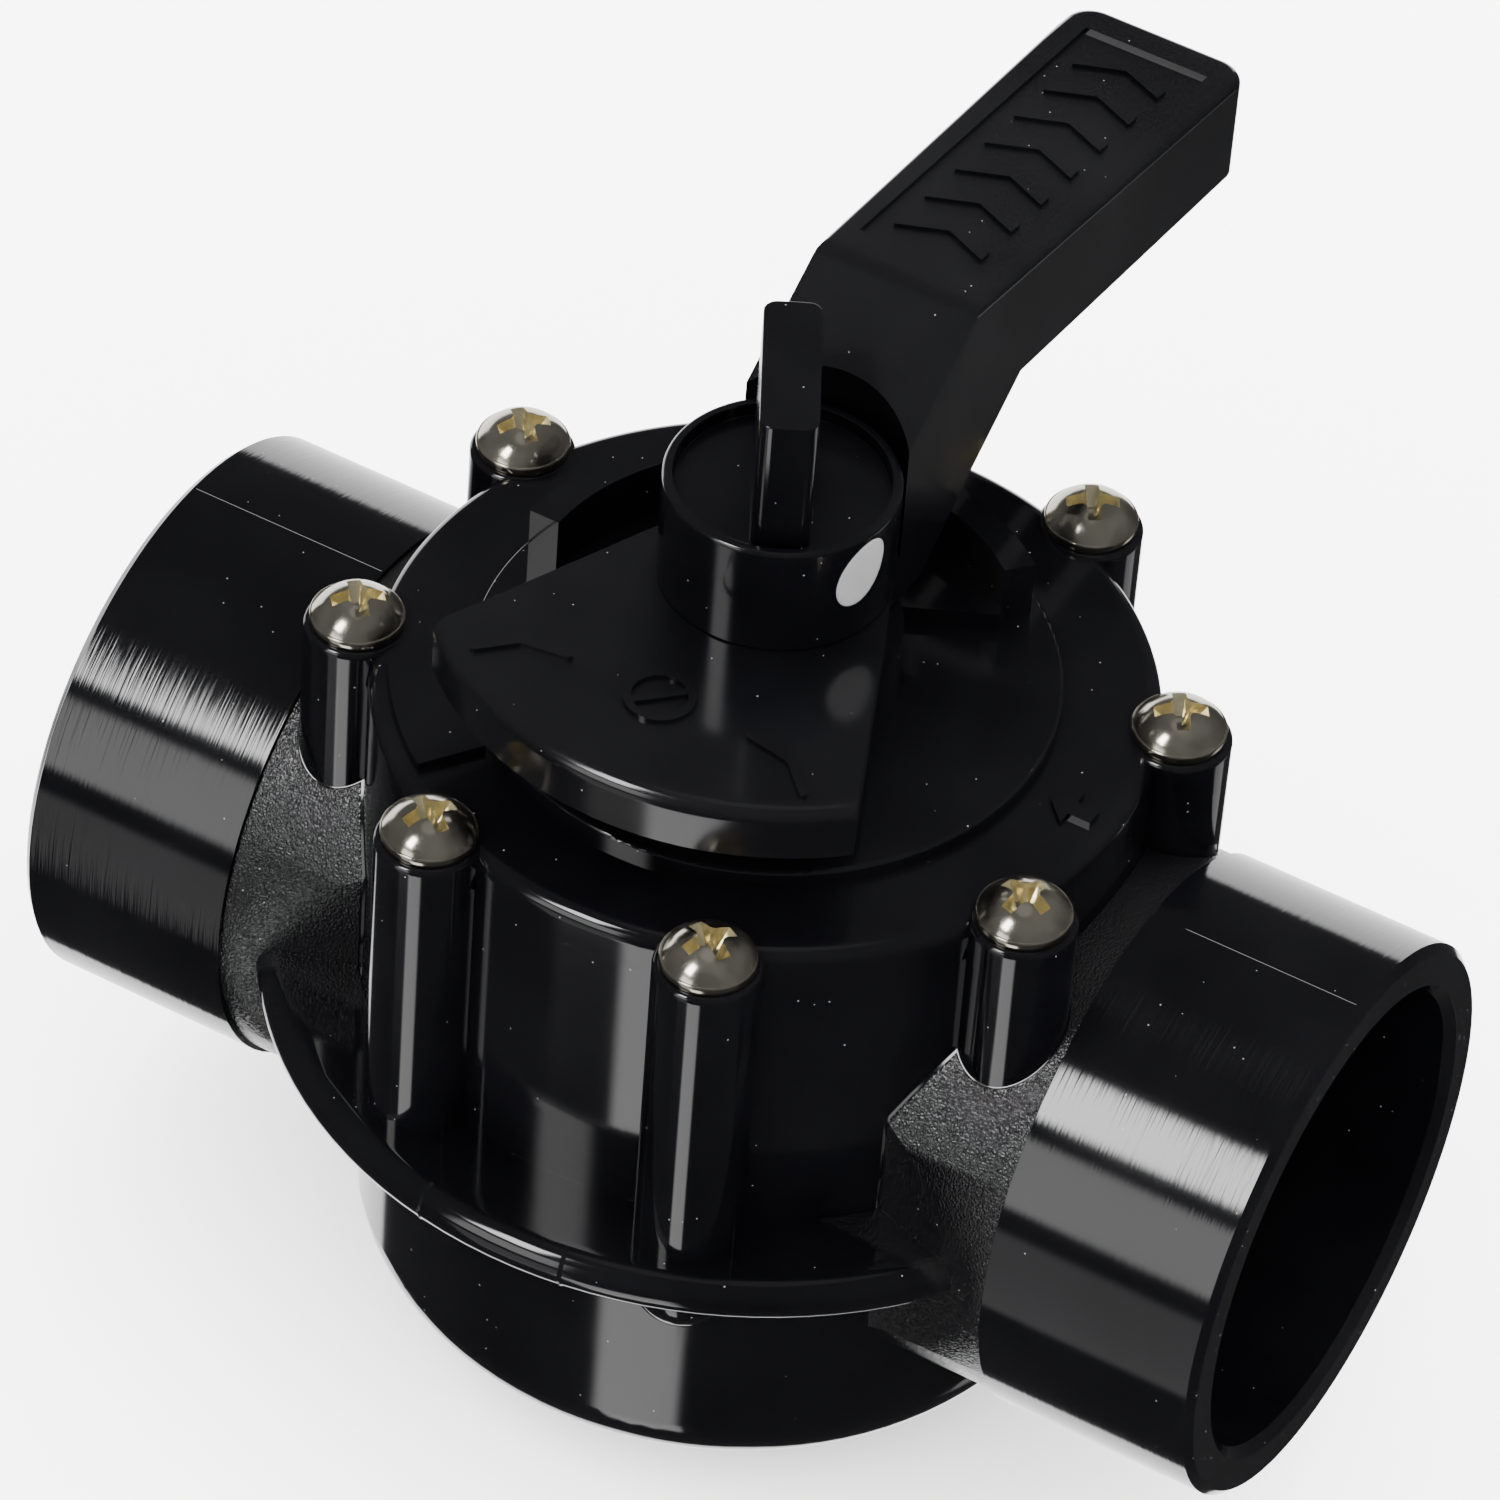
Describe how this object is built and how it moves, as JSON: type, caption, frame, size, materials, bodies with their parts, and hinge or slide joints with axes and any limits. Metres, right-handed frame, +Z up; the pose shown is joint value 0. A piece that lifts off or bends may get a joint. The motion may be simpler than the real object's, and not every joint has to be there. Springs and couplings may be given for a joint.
{
  "type": "two port diverter valve",
  "caption": "Moulded plastic diverter valve with two socket ports in line, a lever handle on top and a wing knob that locks it.",
  "frame": {"origin": "bottom centre of the bowl, on the stem axis", "axes": "+X along the ports towards the inlet, +Z up along the stem, +Y the way the lever points when the valve is open"},
  "size_m": [0.1666, 0.1552, 0.15],
  "materials": {
    "black_plastic": "gloss",
    "stainless": "satin",
    "brass": "satin",
    "black_rubber": "matte",
    "white_nylon": "matte"
  },
  "bodies": {
    "housing": {"valve_body": "black_plastic", "cover": "black_plastic", "cover_o_ring": "black_rubber", "cover_screws": "stainless", "lower_thrust_washer": "white_nylon", "upper_thrust_washer": "white_nylon"},
    "turning_group": {"handle": "black_plastic", "diverter": "black_plastic", "diverter_seal": "black_rubber", "lower_stem_o_ring": "black_rubber", "upper_stem_o_ring": "black_rubber", "shaft_insert": "brass", "knob_washer": "stainless"},
    "knob": {"locking_knob": "black_plastic", "knob_stud": "stainless"}
  },
  "joints": [
    {"name": "handle_turn", "type": "hinge", "parent": "housing", "child": "turning_group", "pos_m": [0, 0, 0.11], "axis": [0, 0, 1], "range_deg": [-90, 90]},
    {"name": "knob_turn", "type": "hinge", "parent": "turning_group", "child": "knob", "pos_m": [0, 0, 0.1176], "axis": [0, 0, 1], "range_deg": [0, 270]}
  ]
}
